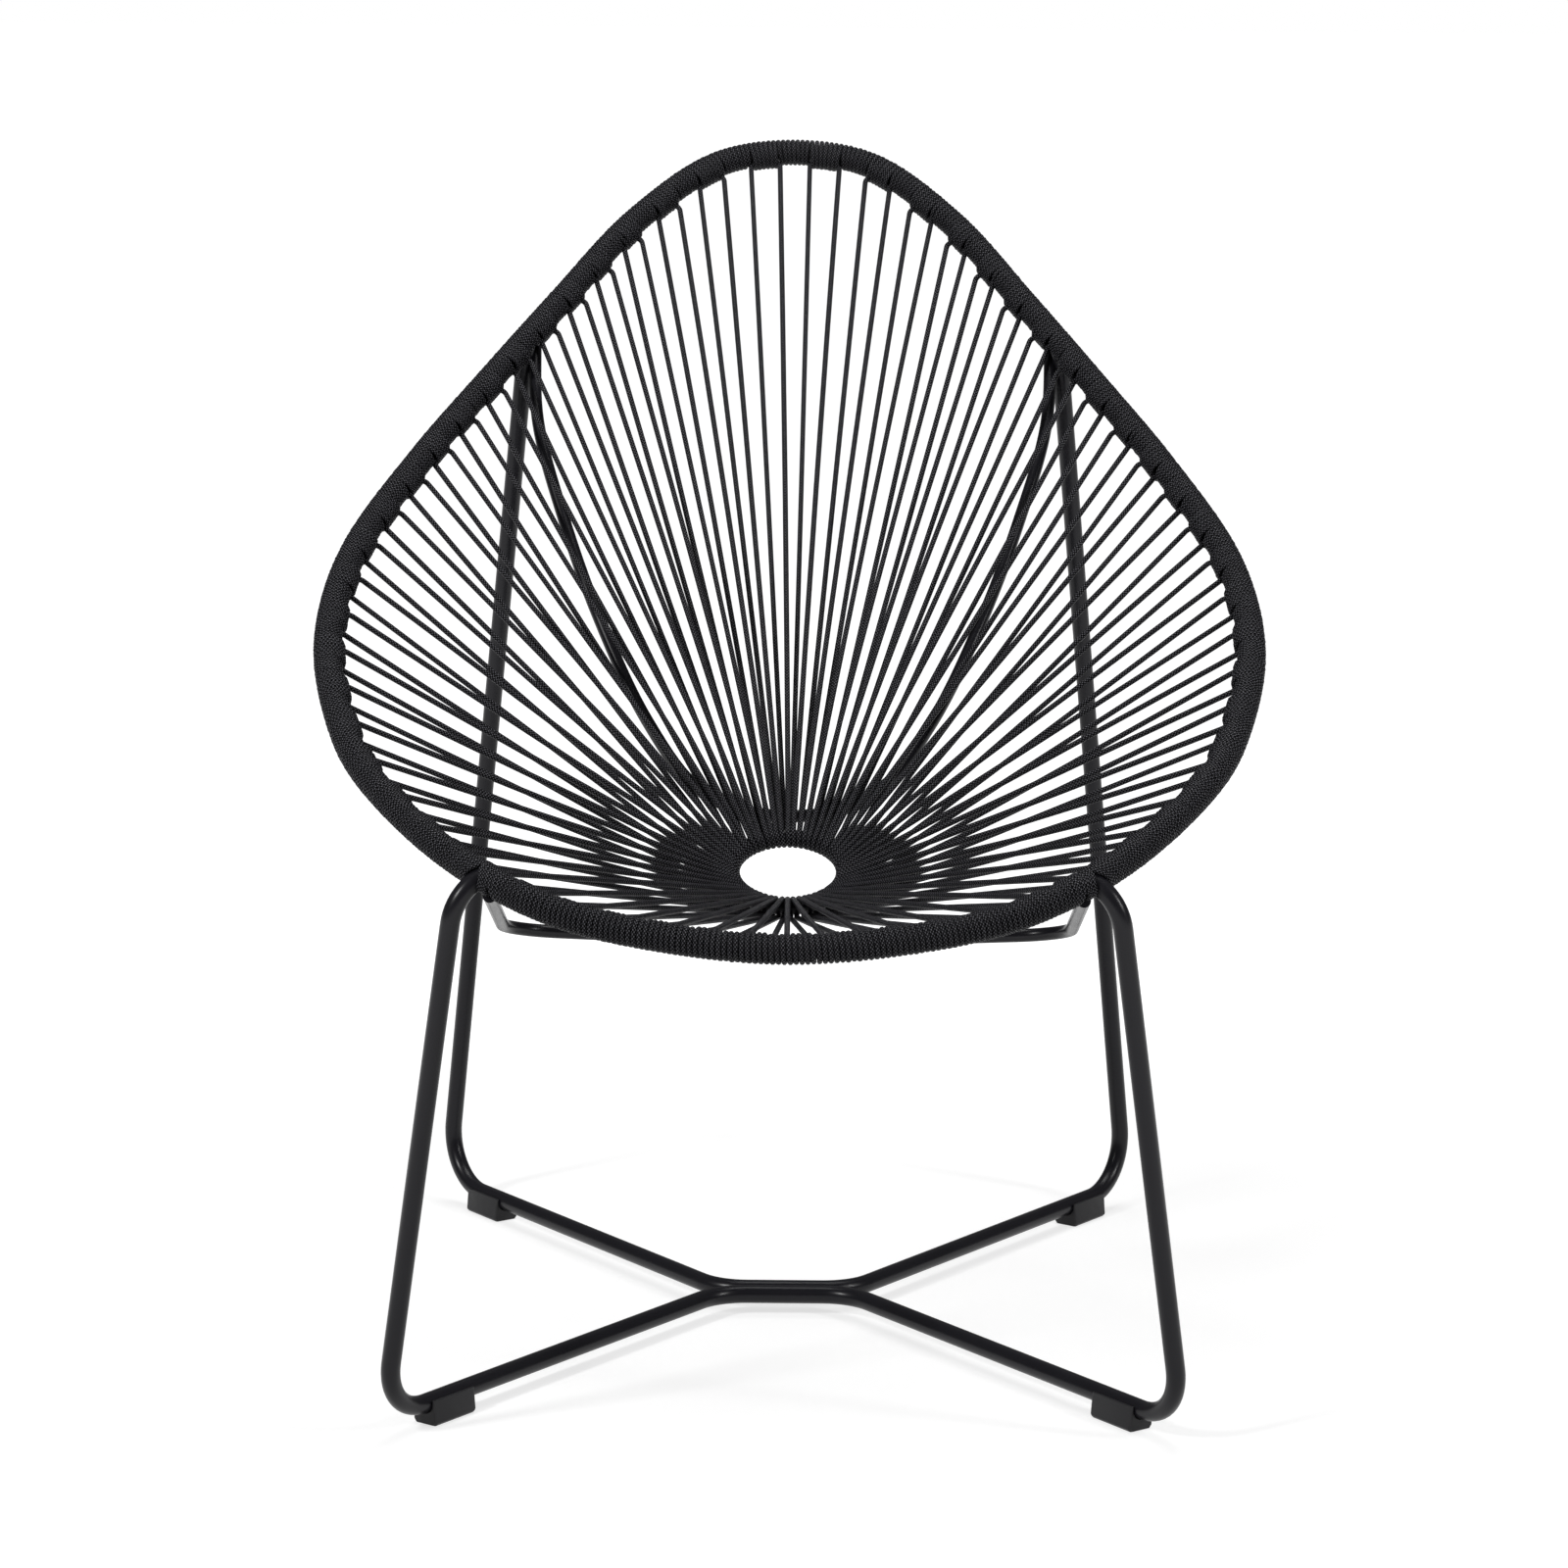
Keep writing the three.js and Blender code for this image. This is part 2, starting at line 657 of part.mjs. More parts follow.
function glideGeometry() {
  const outline = new THREE.Shape();
  outline.moveTo(-glideHalf + glideEdge, 0);
  outline.lineTo(glideHalf - glideEdge, 0);
  outline.lineTo(glideHalf, glideEdge);
  outline.lineTo(glideHalf, glideHeight);
  outline.lineTo(bedRadius, glideHeight);
  outline.absarc(0, floorTubeHeight, bedRadius, 0, -Math.PI, true);
  outline.lineTo(-bedRadius, glideHeight);
  outline.lineTo(-glideHalf, glideHeight);
  outline.lineTo(-glideHalf, glideEdge);
  const options = { depth: glideLength, bevelEnabled: false, curveSegments: rodSides };
  const block = new THREE.ExtrudeGeometry(outline, options);
  block.rotateX(Math.PI / 2);
  block.translate(0, glideLength / 2, 0);
  return block;
}

[['front', -1], ['rear', 1]].forEach(([row, depthSide]) => {
  [['left', -1], ['right', 1]].forEach(([flank, widthSide]) => {
    const [corner, middle] = floorCorners(depthSide);
    corner.x *= widthSide;
    middle.x *= widthSide;
    const run = middle.clone().sub(corner).normalize();
    const glide = place(`glide_${row}_${flank}`, glideGeometry(), blackPlastic);
    glide.position.copy(corner).addScaledVector(run, glideFromCorner).setZ(0);
    glide.rotation.z = Math.atan2(run.y, run.x) - Math.PI / 2;
  });
});

export default chair;
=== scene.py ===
import math
import random

import bmesh
import bpy
from mathutils import Matrix, Vector


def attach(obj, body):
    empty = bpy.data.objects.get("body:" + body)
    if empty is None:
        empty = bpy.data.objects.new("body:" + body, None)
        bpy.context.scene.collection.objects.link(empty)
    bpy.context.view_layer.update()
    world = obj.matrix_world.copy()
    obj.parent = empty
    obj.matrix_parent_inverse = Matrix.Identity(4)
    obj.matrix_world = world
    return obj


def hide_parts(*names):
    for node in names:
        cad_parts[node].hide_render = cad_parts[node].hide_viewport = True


# Acapulco lounge chair: a pear-shaped hoop wound with rope, 120 taut cords down to a small ring, and
# a base of bent tube. Metres; the chair faces -Y and stands on Z = 0.
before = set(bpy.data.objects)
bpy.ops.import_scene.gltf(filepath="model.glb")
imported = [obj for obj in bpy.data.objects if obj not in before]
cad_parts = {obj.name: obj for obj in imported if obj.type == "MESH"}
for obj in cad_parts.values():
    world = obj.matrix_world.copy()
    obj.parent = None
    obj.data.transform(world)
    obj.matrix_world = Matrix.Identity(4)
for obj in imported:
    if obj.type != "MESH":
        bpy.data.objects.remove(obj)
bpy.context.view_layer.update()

hoop = {
    "halfWidth": 0.3505,
    "depth": 0.852,
    "frontHeight": 0.3933,
    "rise": 0.496,
    "tubeRadius": 0.00715,
    "stations": 2880,
    # half of the centreline from the front to the top, as shares of half width, depth and rise
    "outlineShares": [
        (0, 0, 0), (0.272, 0.018, 0.012), (0.471, 0.05, 0.035), (0.673, 0.121, 0.083),
        (0.87, 0.239, 0.161), (0.944, 0.317, 0.215), (1, 0.442, 0.311), (0.969, 0.554, 0.416),
        (0.837, 0.669, 0.543), (0.691, 0.758, 0.657), (0.542, 0.842, 0.77), (0.368, 0.93, 0.896),
        (0.177, 0.988, 0.982), (0, 1, 1),
    ],
}

ring = {
    "radius": 0.046,
    "rodRadius": 0.005,
    "behindFront": 0.3835,
    "height": 0.3683,
    "tilt": math.radians(25.5),  # back edge up
    "steps": 120,
}

rope = {
    "radius": 0.0019,
    "cords": 120,
    # every sixth cord's place from the front to the top of the back, as a share of the hoop's length
    "placeShares": [0, 0.038, 0.079, 0.125, 0.185, 0.242, 0.294, 0.342, 0.39, 0.44, 0.5],
    "frontPairShare": 0.125,  # how far each cord of a loop stands towards the other, at the front
    "frontShift": 0.125,  # how far the row of cords lies off the middle of the front and the top,
    "topShift": 0.48,     # in cord spacings
}


# Paths

def splineThrough(corners, steps, closed):
    # centripetal Catmull-Rom; an open one is carried on straight past its ends
    if closed:
        corners = [corners[-1], *corners, corners[0], corners[1]]
    else:
        corners = [2 * corners[0] - corners[1], *corners, 2 * corners[-1] - corners[-2]]
    points = []
    for k in range(len(corners) - 3):
        p = corners[k:k + 4]
        knots = [0.0]
        for j in range(3):
            knots.append(knots[-1] + math.sqrt((p[j + 1] - p[j]).length))
        for step in range(steps):
            t = knots[1] + (knots[2] - knots[1]) * step / steps
            a = [p[j].lerp(p[j + 1], (t - knots[j]) / (knots[j + 1] - knots[j])) for j in range(3)]
            b = [a[j].lerp(a[j + 1], (t - knots[j]) / (knots[j + 2] - knots[j])) for j in range(2)]
            points.append(b[0].lerp(b[1], (t - knots[1]) / (knots[2] - knots[1])))
    points.append(corners[-2].copy())
    return points


def evenlySpaced(points, count):
    reach = [0.0]
    for a, b in zip(points, points[1:]):
        reach.append(reach[-1] + (b - a).length)
    result = []
    k = 0
    for step in range(count + 1):
        goal = reach[-1] * step / count
        while k < len(points) - 2 and reach[k + 1] < goal:
            k += 1
        result.append(points[k].lerp(points[k + 1], (goal - reach[k]) / (reach[k + 1] - reach[k])))
    return result


def bentPath(corners, radii, turnStep=math.radians(6)):
    # straight runs between corners, each corner turned with its own bend radius
    points = [corners[0].copy()]
    for k, radius in enumerate(radii, start=1):
        before = (corners[k] - corners[k - 1]).normalized()
        after = (corners[k + 1] - corners[k]).normalized()
        turn = before.angle(after)
        axis = before.cross(after).normalized()
        start = corners[k] - before * radius * math.tan(turn / 2)
        centre = start + axis.cross(before) * radius
        steps = max(2, math.ceil(turn / turnStep))
        for step in range(steps + 1):
            points.append(centre + Matrix.Rotation(turn * step / steps, 3, axis) @ (start - centre))
    points.append(corners[-1].copy())
    return points


def mirrored(points):
    return points + [Vector((-p.x, p.y, p.z)) for p in reversed(points)]


def hoopCorner(shares, side):
    wide, deep, high = shares
    return Vector((
        side * wide * hoop["halfWidth"],
        (deep - 0.5) * hoop["depth"],
        hoop["frontHeight"] + high * hoop["rise"],
    ))


rightHalf = [hoopCorner(shares, 1) for shares in hoop["outlineShares"]]
leftHalf = [hoopCorner(shares, -1) for shares in reversed(hoop["outlineShares"][1:-1])]
hoopPoints = evenlySpaced(splineThrough(rightHalf + leftHalf, 60, True), hoop["stations"])
hoopLength = sum((b - a).length for a, b in zip(hoopPoints, hoopPoints[1:]))

ringCentre = Vector((0, ring["behindFront"] - hoop["depth"] / 2, ring["height"]))
ringTurned = Matrix.Rotation(ring["tilt"], 3, "X")
ringNormal = ringTurned @ Vector((0, 0, 1))


def ringOutward(turn):
    angle = 2 * math.pi * turn
    return ringTurned @ Vector((math.sin(angle), -math.cos(angle), 0))


def onRing(turn):
    return ringCentre + ringOutward(turn) * ring["radius"]


def onHoop(share):
    # point, run direction, direction to the ring and direction away from the sitter
    place = (share % 1) * hoop["stations"]
    k = int(place) % hoop["stations"]
    point = hoopPoints[k].lerp(hoopPoints[k + 1], place - int(place))
    before = hoopPoints[k] - hoopPoints[k - 1 if k else -2]
    after = hoopPoints[k + 2 if k + 2 <= hoop["stations"] else 1] - hoopPoints[k + 1]
    along = before.lerp(after, 0.5).normalized()
    inward = ringCentre - point
    inward = (inward - inward.dot(along) * along).normalized()
    behind = along.cross(inward)
    if behind.z > 0:
        behind = -behind
    return point, along, inward, behind


def placeShare(place):
    shares = rope["placeShares"]
    half = len(shares) - 1
    rounds, own = divmod(place, 2 * half)
    return rounds + (shares[own] if own <= half else 1 - shares[2 * half - own])


def hoopShare(turn):
    # a smooth curve through those places
    along = turn * 2 * (len(rope["placeShares"]) - 1)
    place = math.floor(along)
    rest = along - place
    a, b, c, d = (placeShare(place + step) for step in (-1, 0, 1, 2))
    bend = 2 * a - 5 * b + 4 * c - d + rest * (3 * (b - c) + d - a)
    return b + rest * (c - a + rest * bend) / 2


def cordShare(number):
    # the cord's place on the hoop; cords 2m - 1 and 2m are the two ends of one loop round the ring
    frontness = (1 + math.cos(2 * math.pi * number / rope["cords"])) / 2
    pair = frontness * rope["frontPairShare"]
    shift = frontness ** 2 * rope["frontShift"] + (1 - frontness) ** 2 * rope["topShift"]
    return hoopShare((number + shift + (pair if number % 2 else -pair)) / rope["cords"])


# Meshes and node trees

def pathMesh(name, paths, attributes=None):
    # open polylines in one mesh; attributes are (name, kind, one value for each point)
    mesh = bpy.data.meshes.new(name)
    points = [p for path in paths for p in path]
    edges = []
    first = 0
    for path in paths:
        edges += [(k, k + 1) for k in range(first, first + len(path) - 1)]
        first += len(path)
    mesh.from_pydata(points, edges, [])
    for label, kind, values in attributes or []:
        data = mesh.attributes.new(label, kind, "POINT").data
        if kind == "FLOAT":
            data.foreach_set("value", values)
        else:
            data.foreach_set("vector", [c for v in values for c in v])
    piece = bpy.data.objects.new(name, mesh)
    bpy.context.scene.collection.objects.link(piece)
    return piece


class TreeBuilder:
    def __init__(self, name, inputs):
        self.tree = bpy.data.node_groups.new(name, "GeometryNodeTree")
        self.tree.is_modifier = True
        interface = self.tree.interface
        interface.new_socket(name="Geometry", in_out="INPUT", socket_type="NodeSocketGeometry")
        interface.new_socket(name="Geometry", in_out="OUTPUT", socket_type="NodeSocketGeometry")
        for label, kind in inputs:
            interface.new_socket(name=label, in_out="INPUT", socket_type=f"NodeSocket{kind}")
        self.given = self.tree.nodes.new("NodeGroupInput").outputs

    def add(self, kind, links=None, **settings):
        node = self.tree.nodes.new(kind)
        for key, value in settings.items():
            setattr(node, key, value)
        for key, value in (links or {}).items():
            sockets = [s for s in node.inputs if s.enabled]
            socket = sockets[key] if isinstance(key, int) else next(s for s in sockets if s.name == key)
            if isinstance(value, bpy.types.NodeSocket):
                self.tree.links.new(value, socket)
            else:
                socket.default_value = value
        return node

    def result(self, node, name=None):
        sockets = [s for s in node.outputs if s.enabled]
        return sockets[0] if name is None else next(s for s in sockets if s.name == name)

    def math(self, operation, *values):
        return self.result(self.add("ShaderNodeMath", dict(enumerate(values)), operation=operation))

    def vector(self, operation, *values, name=None):
        node = self.add("ShaderNodeVectorMath", dict(enumerate(values)), operation=operation)
        return self.result(node, name)

    def named(self, label, kind):
        return self.result(self.add("GeometryNodeInputNamedAttribute", {"Name": label}, data_type=kind))

    def store(self, geometry, label, kind, value):
        node = self.add("GeometryNodeStoreNamedAttribute",
                        {"Geometry": geometry, "Name": label, "Value": value},
                        data_type=kind, domain="POINT")
        return self.result(node)

    def finishTube(self, curve, radius, sides, material):
        # a round section swept along the curve, with the section's own direction kept for the braid
        circle = self.add("GeometryNodeCurvePrimitiveCircle", {"Resolution": sides, "Radius": 1.0})
        around = self.store(self.result(circle), "ropeAround", "FLOAT_VECTOR",
                            self.result(self.add("GeometryNodeInputPosition")))
        small = self.add("GeometryNodeTransform", {"Geometry": around, "Scale": self.result(
            self.add("ShaderNodeCombineXYZ", {"X": radius, "Y": radius, "Z": 1.0}))})
        along = self.result(self.add("GeometryNodeSplineParameter"), "Length")
        curve = self.store(curve, "ropeAlong", "FLOAT", along)
        swept = self.add("GeometryNodeCurveToMesh",
                         {"Curve": curve, "Profile Curve": self.result(small), "Fill Caps": True})
        smooth = self.add("GeometryNodeSetShadeSmooth", {"Geometry": self.result(swept)})
        real = self.add("GeometryNodeRealizeInstances", {"Geometry": self.result(smooth)})
        dressed = self.add("GeometryNodeSetMaterial",
                           {"Geometry": self.result(real), "Material": material})
        self.add("NodeGroupOutput", {"Geometry": self.result(dressed)})
        return self.tree


def applyTree(piece, tree, values):
    # runs the tree on the piece and leaves a plain mesh
    modifier = piece.modifiers.new(tree.name, "NODES")
    modifier.node_group = tree
    for item in tree.interface.items_tree:
        if item.in_out == "INPUT" and item.name in values:
            modifier[item.identifier] = values[item.name]
    evaluated = piece.evaluated_get(bpy.context.evaluated_depsgraph_get())
    mesh = bpy.data.meshes.new_from_object(evaluated)
    piece.modifiers.clear()
    old = piece.data
    piece.data = mesh
    bpy.data.meshes.remove(old)
    mesh.name = piece.name
    return piece


def sweepTree():
    tree = TreeBuilder("Sweep along path", [
        ("Radius", "Float"), ("Sides", "Int"), ("Material", "Material"),
    ])
    given = tree.given
    curve = tree.result(tree.add("GeometryNodeMeshToCurve", {"Mesh": given["Geometry"]}))
    return tree.finishTube(curve, given["Radius"], given["Sides"], given["Material"])


def windingTree():
    tree = TreeBuilder("Rope wound on the hoop", [
        ("Turns", "Float"), ("Steps in a turn", "Int"),
        ("Wound from", "Float"), ("Wound length", "Float"),
        ("Core radius", "Float"), ("Rope radius", "Float"), ("Sides", "Int"), ("Looseness", "Float"),
        ("Seed", "Int"), ("Material", "Material"),
    ])
    given = tree.given
    path = tree.result(tree.add("GeometryNodeMeshToCurve", {"Mesh": given["Geometry"]}))
    count = tree.math("ROUND", tree.math("MULTIPLY", given["Turns"], given["Steps in a turn"]))
    line = tree.add("GeometryNodeCurvePrimitiveLine")
    line = tree.result(tree.add("GeometryNodeResampleCurve",
                                {"Curve": tree.result(line), "Count": tree.math("ADD", count, 1.0)}))
    share = tree.result(tree.add("GeometryNodeSplineParameter"), "Factor")
    turn = tree.math("MULTIPLY", share, given["Turns"])
    angle = tree.math("MULTIPLY", turn, 2 * math.pi)
    length = tree.math("MULTIPLY_ADD", share, given["Wound length"], given["Wound from"])

    def sampled(label, kind, at):
        node = tree.add("GeometryNodeSampleCurve",
                        {"Curves": path, "Value": tree.named(label, kind), "Length": at},
                        data_type=kind, mode="LENGTH", use_all_curves=False)
        return node

    def acrossTube(at):
        node = sampled("inward", "FLOAT_VECTOR", at)
        inward = tree.result(node, "Value")
        behind = tree.vector("CROSS_PRODUCT", tree.result(node, "Tangent"), inward)
        sideways = tree.vector("SCALE", inward, tree.math("COSINE", angle))
        backward = tree.vector("SCALE", behind, tree.math("SINE", angle))
        return tree.result(node, "Position"), tree.vector("ADD", sideways, backward)

    # turns are pushed apart where a cord, a leg or a rod comes through them
    facing = acrossTube(length)[1]
    parted = length
    for label, start, full in (("cord", 0.1, 0.9), ("leg", -0.35, 0.75), ("rod", -0.1, 0.8)):
        side = tree.result(sampled(label + "Side", "FLOAT_VECTOR", length), "Value")
        push = tree.result(sampled(label + "Push", "FLOAT", length), "Value")
        towards = tree.vector("DOT_PRODUCT", facing, side, name="Value")
        weight = tree.result(tree.add("ShaderNodeMapRange", {
            "Value": towards, "From Min": start, "From Max": full,
        }, interpolation_type="SMOOTHSTEP"))
        parted = tree.math("MULTIPLY_ADD", push, weight, parted)
    centre, facing = acrossTube(parted)

    # a cord that runs along the inner side makes the winding stand out there
    bulge = tree.result(sampled("bulge", "FLOAT", parted), "Value")
    near = tree.result(tree.add("ShaderNodeMapRange", {
        "Value": tree.math("COSINE", angle), "From Min": 0.05, "From Max": 0.95,
    }, interpolation_type="SMOOTHSTEP"))
    loose = tree.add("ShaderNodeTexNoise", {
        "W": tree.math("ADD", tree.math("MULTIPLY", turn, 0.9), given["Seed"]),
        "Detail": 1.0, "Scale": 1.0,
    }, noise_dimensions="1D")
    loose = tree.math("SUBTRACT", tree.result(loose), 0.5)
    radius = tree.math("ADD", given["Core radius"], tree.math("MULTIPLY", bulge, near))
    radius = tree.math("MULTIPLY_ADD", loose, given["Looseness"], radius)
    placed = tree.add("GeometryNodeSetPosition", {
        "Geometry": line, "Position": tree.vector("ADD", centre, tree.vector("SCALE", facing, radius)),
    })
    return tree.finishTube(tree.result(placed), given["Rope radius"], given["Sides"], given["Material"])


# Materials

def newMaterial(name):
    material = bpy.data.materials.new(name)
    material.use_nodes = True
    nodes = material.node_tree.nodes
    shader = next(n for n in nodes if n.type == "BSDF_PRINCIPLED")
    return material, nodes, material.node_tree.links, shader


def shaderMath(nodes, links, operation, *values):
    node = nodes.new("ShaderNodeMath")
    node.operation = operation
    for k, value in enumerate(values):
        if isinstance(value, bpy.types.NodeSocket):
            links.new(value, node.inputs[k])
        else:
            node.inputs[k].default_value = value
    return node.outputs[0]


def colourBetween(nodes, links, factor, low, high):
    mix = nodes.new("ShaderNodeMix")
    mix.data_type = "RGBA"
    links.new(factor, mix.inputs[0])
    mix.inputs[6].default_value = (*low, 1)
    mix.inputs[7].default_value = (*high, 1)
    return mix.outputs[2]


def texture(nodes, links, kind, coordinate, scale, detail=None):
    node = nodes.new(kind)
    node.inputs["Scale"].default_value = scale
    if detail is not None:
        node.inputs["Detail"].default_value = detail
    links.new(coordinate.outputs["Object"], node.inputs["Vector"])
    return node


def addBump(nodes, links, shader, height, depth, strength):
    bump = nodes.new("ShaderNodeBump")
    bump.inputs["Distance"].default_value = depth
    bump.inputs["Strength"].default_value = strength
    links.new(height, bump.inputs["Height"])
    links.new(bump.outputs[0], shader.inputs["Normal"])


braid = {
    "strands": 5,
    "slopeShare": 1.1,  # how steeply the strands cross, 1 is half a right angle
    "depth": 0.0003,
    # painted shade: the grooves between the strands are coloured darker than the rope's own black
    "gap": (0.0007, 0.0006, 0.0009),
    # painted highlight: the crowns of the strands are coloured far lighter than the rope's own black,
    # as glints
    "paintedCrownHighlight": (0.12, 0.119, 0.134),
    "glint": (0.58, 1.12),  # heights of the strands between which the colour turns from the painted groove shade to the painted crown highlight
    "fibreScale": 2600,
    "patchScale": 45,
    "rough": 0.25,
    "fibreRough": 0.3,
    "patchRough": 0.1,
    "gapShine": 0.03,
    "yarnShine": 0.3,  # added to the gap's on top of a strand
}


def ropeMaterial():
    material, nodes, links, shader = newMaterial("blackRope")
    around = nodes.new("ShaderNodeAttribute")
    around.attribute_name = "ropeAround"
    along = nodes.new("ShaderNodeAttribute")
    along.attribute_name = "ropeAlong"
    split = nodes.new("ShaderNodeSeparateXYZ")
    links.new(around.outputs["Vector"], split.inputs[0])
    turn = shaderMath(nodes, links, "ARCTAN2", split.outputs[1], split.outputs[0])
    turn = shaderMath(nodes, links, "DIVIDE", turn, 2 * math.pi)
    run = shaderMath(nodes, links, "DIVIDE", along.outputs["Fac"],
                     2 * math.pi * rope["radius"] * braid["slopeShare"])
    oneWay = shaderMath(nodes, links, "MULTIPLY",
                        shaderMath(nodes, links, "ADD", run, turn), braid["strands"])
    otherWay = shaderMath(nodes, links, "MULTIPLY",
                          shaderMath(nodes, links, "SUBTRACT", run, turn), braid["strands"])

    def strand(across, over, side):
        # a rounded strand that dips where it goes under the strands of the other way
        part = shaderMath(nodes, links, "FRACT", across)
        part = shaderMath(nodes, links, "MULTIPLY_ADD", part, 2, -1)
        crown = shaderMath(nodes, links, "SUBTRACT", 1, shaderMath(nodes, links, "POWER",
                           shaderMath(nodes, links, "ABSOLUTE", part), 2.4))
        which = shaderMath(nodes, links, "ADD", shaderMath(nodes, links, "FLOOR", across), over)
        wave = shaderMath(nodes, links, "SINE", shaderMath(nodes, links, "MULTIPLY", which, math.pi))
        lift = shaderMath(nodes, links, "MULTIPLY_ADD", wave, 0.45 * side, 0.55)
        return shaderMath(nodes, links, "MULTIPLY", crown, lift)

    height = shaderMath(nodes, links, "MAXIMUM",
                        strand(oneWay, otherWay, 1), strand(otherWay, oneWay, -1))
    coordinate = nodes.new("ShaderNodeTexCoord")
    fibre = texture(nodes, links, "ShaderNodeTexNoise", coordinate, braid["fibreScale"], 2)
    patch = texture(nodes, links, "ShaderNodeTexNoise", coordinate, braid["patchScale"], 3)
    rough = shaderMath(nodes, links, "MULTIPLY_ADD",
                       fibre.outputs[0], braid["fibreRough"], braid["rough"])
    rough = shaderMath(nodes, links, "MULTIPLY_ADD",
                       patch.outputs[0], braid["patchRough"], rough)
    links.new(rough, shader.inputs["Roughness"])
    # painted light: this mask of the strand crowns mixes the base colour from the painted groove shade
    # to the painted crown highlight, and raises the shine on the crowns
    paintedGlintMask = nodes.new("ShaderNodeMapRange")
    paintedGlintMask.interpolation_type = "SMOOTHSTEP"
    paintedGlintMask.inputs["From Min"].default_value, paintedGlintMask.inputs["From Max"].default_value = braid["glint"]
    links.new(shaderMath(nodes, links, "MULTIPLY", height,
                         shaderMath(nodes, links, "MULTIPLY_ADD", fibre.outputs[0], 1.0, 0.5)),
              paintedGlintMask.inputs["Value"])
    links.new(colourBetween(nodes, links, paintedGlintMask.outputs[0], braid["gap"], braid["paintedCrownHighlight"]),
              shader.inputs["Base Color"])
    bumpHeight = shaderMath(nodes, links, "MULTIPLY_ADD", fibre.outputs[0], 0.25, height)
    addBump(nodes, links, shader, bumpHeight, braid["depth"], 1)
    # the gaps between the strands shine less than the strands
    shine = shaderMath(nodes, links, "MULTIPLY_ADD",
                       paintedGlintMask.outputs[0], braid["yarnShine"], braid["gapShine"])
    links.new(shine, shader.inputs["Specular IOR Level"])
    return material


powder = {
    "dark": (0.0075, 0.0072, 0.0098),
    "pale": (0.0125, 0.012, 0.0155),
    "cloudScale": 22,
    "rough": 0.24,
    "cloudRough": 0.12,
    "peelScale": 1100,
    "peelDepth": 0.00003,
    "peelStrength": 0.6,
    "shine": 0.24,
}


def powderMaterial():
    # satin black powder coat with a fine orange peel
    material, nodes, links, shader = newMaterial("blackPowderCoat")
    coordinate = nodes.new("ShaderNodeTexCoord")
    peel = texture(nodes, links, "ShaderNodeTexNoise", coordinate, powder["peelScale"], 2)
    cloud = texture(nodes, links, "ShaderNodeTexNoise", coordinate, powder["cloudScale"], 4)
    links.new(colourBetween(nodes, links, cloud.outputs[0], powder["dark"], powder["pale"]),
              shader.inputs["Base Color"])
    rough = shaderMath(nodes, links, "MULTIPLY_ADD",
                       cloud.outputs[0], powder["cloudRough"], powder["rough"])
    links.new(rough, shader.inputs["Roughness"])
    addBump(nodes, links, shader, peel.outputs[0], powder["peelDepth"], powder["peelStrength"])
    shader.inputs["Specular IOR Level"].default_value = powder["shine"]
    return material


plastic = {
    "dark": (0.011, 0.011, 0.0125),
    "pale": (0.019, 0.0185, 0.021),
    "scuffScale": 160,
    "rough": 0.4,
    "scuffRough": 0.2,
    "grainScale": 1500,
    "grainDepth": 0.00004,
    "grainStrength": 0.5,
    "shine": 0.34,
}


def plasticMaterial():
    # moulded black plastic, finely grained
    material, nodes, links, shader = newMaterial("blackPlastic")
    coordinate = nodes.new("ShaderNodeTexCoord")
    grain = texture(nodes, links, "ShaderNodeTexVoronoi", coordinate, plastic["grainScale"])
    scuff = texture(nodes, links, "ShaderNodeTexNoise", coordinate, plastic["scuffScale"], 5)
    links.new(colourBetween(nodes, links, scuff.outputs[0], plastic["dark"], plastic["pale"]),
              shader.inputs["Base Color"])
    rough = shaderMath(nodes, links, "MULTIPLY_ADD",
                       scuff.outputs[0], plastic["scuffRough"], plastic["rough"])
    links.new(rough, shader.inputs["Roughness"])
    addBump(nodes, links, shader, grain.outputs[0], plastic["grainDepth"], plastic["grainStrength"])
    shader.inputs["Specular IOR Level"].default_value = plastic["shine"]
    return material


ropeLook = ropeMaterial()
powderLook = powderMaterial()
plasticLook = plasticMaterial()
print("materials made")


# Steel

steel = {
    "rodRadius": 0.005,
    "tubeSides": 32,
    "baseHalfWidth": 0.29,
    "baseHalfDepth": 0.329,
    "baseBehindMiddle": 0.0163,
    "baseCrossHalf": 0.0524,
    "floorTubeHeight": 0.0163,
    "floorBend": 0.045,
    "touchGap": 0.0003,
    "frontJointTurn": 0.1135,
    "rearJointTurn": 0.3856,
    "rodSeatShare": 0.5,
    "frontBendFromJoint": (0.0191, -0.0114, -0.0118),
    "frontBend": 0.037,
    "crossBendOutside": 0.006,
    "crossAheadOfRing": 0.046,
    "crossUnderCords": 0.014,
    "crossBend": 0.04,
    "crossSag": 0.008,
    "crossSagRadius": 0.5,
    "backRodFromLeg": 0.0165,
    "backRodBehindCords": 0.019,
    # the back rod from the hoop to its middle: shares of a turn, of the way from the hoop to the
    # ring and of the distance behind the cords
    "backRodShares": [
        (0.3779, 0.125, 0.7), (0.3684, 0.2971, 0.882), (0.3588, 0.4812, 0.942),
        (0.3508, 0.689, 1.001), (0.3648, 0.8499, 1.065), (0.4293, 0.9354, 1.053),
    ],
}

besideLeg = hoop["tubeRadius"] + steel["rodRadius"] + steel["touchGap"]
frontShare = hoopShare(steel["frontJointTurn"])
crossShare = frontShare - besideLeg / hoopLength
rearShare = hoopShare(steel["rearJointTurn"])
backRodShare = rearShare + steel["backRodFromLeg"] / hoopLength
sweep = sweepTree()


def finishPiece(piece, slot, *nodes):
    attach(piece, "root")
    if nodes:
        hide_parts(*nodes)
    return piece


def steelPiece(name, points, radius, node):
    piece = applyTree(pathMesh(name, [points]), sweep, {
        "Radius": radius, "Sides": steel["tubeSides"], "Material": powderLook,
    })
    return finishPiece(piece, "frame", node)


